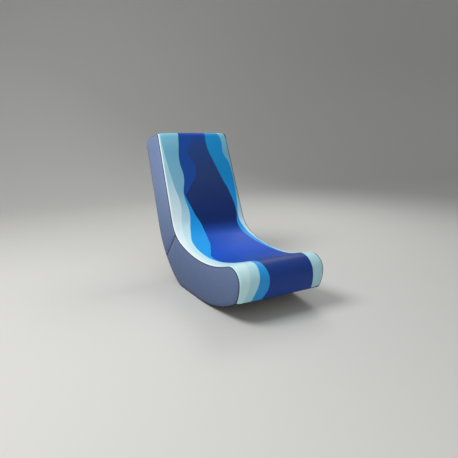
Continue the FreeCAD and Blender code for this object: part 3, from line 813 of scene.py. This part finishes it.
row_tool, inputs, curve = path_tool("repeats_along_path", [
    ("Pitch", 0.004), ("Length", 0.003), ("Width", 0.0007), ("Height", 0.0005)])
spots = add(row_tool, "GeometryNodeResampleCurve", {"mode": "LENGTH"}, Curve=curve,
            Length=inputs["Pitch"])
along_path = add(row_tool, "FunctionNodeAlignRotationToVector", {"axis": "X"},
                 Vector=add(row_tool, "GeometryNodeInputTangent").outputs[0])
bead = add(row_tool, "GeometryNodeMeshUVSphere", Segments=8, Rings=5, Radius=0.5)
laid = add(row_tool, "GeometryNodeInstanceOnPoints", Points=spots.outputs[0],
           Instance=bead.outputs[0], Rotation=along_path.outputs[0],
           Scale=add(row_tool, "ShaderNodeCombineXYZ", X=inputs["Length"], Y=inputs["Width"],
                     Z=inputs["Height"]).outputs[0])
real = add(row_tool, "GeometryNodeRealizeInstances", Geometry=laid.outputs[0])
path_result(row_tool, inputs, real.outputs[0])


def run_along(name, lines, tool, material, body, slot, **sizes):
    """A piece made by a path tool along lines of points. It rides on a body, or has its transform
    baked.
    """
    mesh = bpy.data.meshes.new(name)
    verts, edges = [], []
    for points in lines:
        edges += [(len(verts) + i, len(verts) + i + 1) for i in range(len(points) - 1)]
        verts += points
    mesh.from_pydata(verts, edges, [])
    piece = bpy.data.objects.new(name, mesh)
    scene.collection.objects.link(piece)
    m = piece.modifiers.new("path", "NODES")
    m.node_group = tool
    for item in tool.interface.items_tree:
        key = item.name.replace(" ", "_").lower()
        if key in sizes:
            m[item.identifier] = sizes[key]
        elif item.name == "Material":
            m[item.identifier] = material
    made = bpy.data.meshes.new_from_object(
        piece.evaluated_get(bpy.context.evaluated_depsgraph_get()))
    piece.modifiers.clear()
    piece.data = made
    if body:
        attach(piece, body)
    else:
        fold_at_slit(piece)


def both_sides(line, deep, x):
    """Two lines along the same path points, on the left and on the right."""
    return [[place(*into(p, deep), side * x) for p in line] for side in (-1, 1)]


def crossing(point, deep, *xs):
    """A line across the chair at one path point."""
    return [place(*into(point, deep), x) for x in xs]


def thread_material(name, colour, rough):
    """Twisted yarn: darker and paler bands wind round it, so that it reads as laid thread."""
    m, tree, shader = new_material(name)
    at_object = add(tree, "ShaderNodeTexCoord").outputs["Object"]
    twist = add(tree, "ShaderNodeTexWave", {"bands_direction": "DIAGONAL"}, Vector=at_object,
                Scale=bands_apart(1.2), Distortion=0.5)
    tone = add(tree, "ShaderNodeMix", {"data_type": "RGBA"}, Factor=twist.outputs["Fac"],
               i6=[0.7 * c for c in hex_colour(colour)[:3]] + [1], i7=hex_colour(colour))
    tree.links.new(tone.outputs[2], shader.inputs["Base Color"])
    shader.inputs["Roughness"].default_value = rough
    bump = add(tree, "ShaderNodeBump", Strength=0.3, Distance=0.0002, Height=twist.outputs["Fac"])
    tree.links.new(bump.outputs[0], shader.inputs["Normal"])
    return m


# black cord: painted shade in the cover's grooves and under the nose's foot, and the black cloth's
# own welts
black_cord_and_painted_shade = thread_material("black_welt_cord", "#14161B", 0.7)
navy_thread = thread_material("navy_nylon_thread", "#23335E", 0.45)
black_thread = thread_material("black_nylon_thread", "#1B1C20", 0.5)
WELT_X, WELT_RADIUS, COVER_STITCH_X, REAR_STITCH_X, STAPLE_X = 201.6, 0.0017, 201.1, 193.5, 191.0
FOOT_EDGE = (775.6, 75.9, -140.0)
front_walk = walk(FRONT_START, FRONT_HEADING, FRONT_PATH, gap=5.0)

# the welts' black is painted shade in the groove between the cover and the pads
run_along("cover_side_welts", both_sides(front_walk, deep=3.0, x=WELT_X),
          cord_tool, black_cord_and_painted_shade, None, "black_fabric", cord_radius=WELT_RADIUS)
run_along("cover_edge_stitches", both_sides(front_walk, deep=5.8, x=COVER_STITCH_X),
          row_tool, navy_thread, None, "printed_cover", pitch=0.0045, length=0.0034,
          width=0.0007, height=0.0006)
for body, line in (("seat", base_walk), ("back", back_walk)):
    run_along(body + "_cloth_welts", both_sides(line, deep=1.9, x=WELT_X),
              cord_tool, black_cord_and_painted_shade, body, "black_fabric", cord_radius=WELT_RADIUS)
# a black roll along the nose's foot, as painted shade under the nose
run_along("nose_foot_hem", [crossing(FOOT_EDGE, 0.2, -197.0, -100.0, 0.0, 100.0, 197.0)],
          cord_tool, black_cord_and_painted_shade, "seat", "black_fabric", cord_radius=0.0034)

base_line = [p for p in base_walk if 14 < p[3] < base_walk[-1][3] - 14]
run_along("underside_staples", both_sides(base_line, deep=0.05, x=STAPLE_X)
          + [crossing(base_line[k], 0.05, -180.0, 0.0, 180.0) for k in (0, -1)],
          row_tool, zinc_steel, "seat", "steel", pitch=0.028, length=0.0104, width=0.0012,
          height=0.0009)
rear_line = [p for p in back_walk if back_walk[0][3] + 9 < p[3] < back_walk[-1][3] - 7]
run_along("rear_cloth_stitches", both_sides(rear_line, deep=-0.05, x=REAR_STITCH_X)
          + [crossing(rear_line[k], -0.15, -REAR_STITCH_X, 0.0, REAR_STITCH_X) for k in (0, -1)],
          row_tool, black_thread, "back", "black_fabric", pitch=0.0046, length=0.0034,
          width=0.0008, height=0.0007)
run_along("top_hem_stitches", [crossing(front_walk[1], -0.1, -190.0, 0.0, 190.0)],
          row_tool, navy_thread, "back", "printed_cover", pitch=0.0046, length=0.0034,
          width=0.0008, height=0.0007)
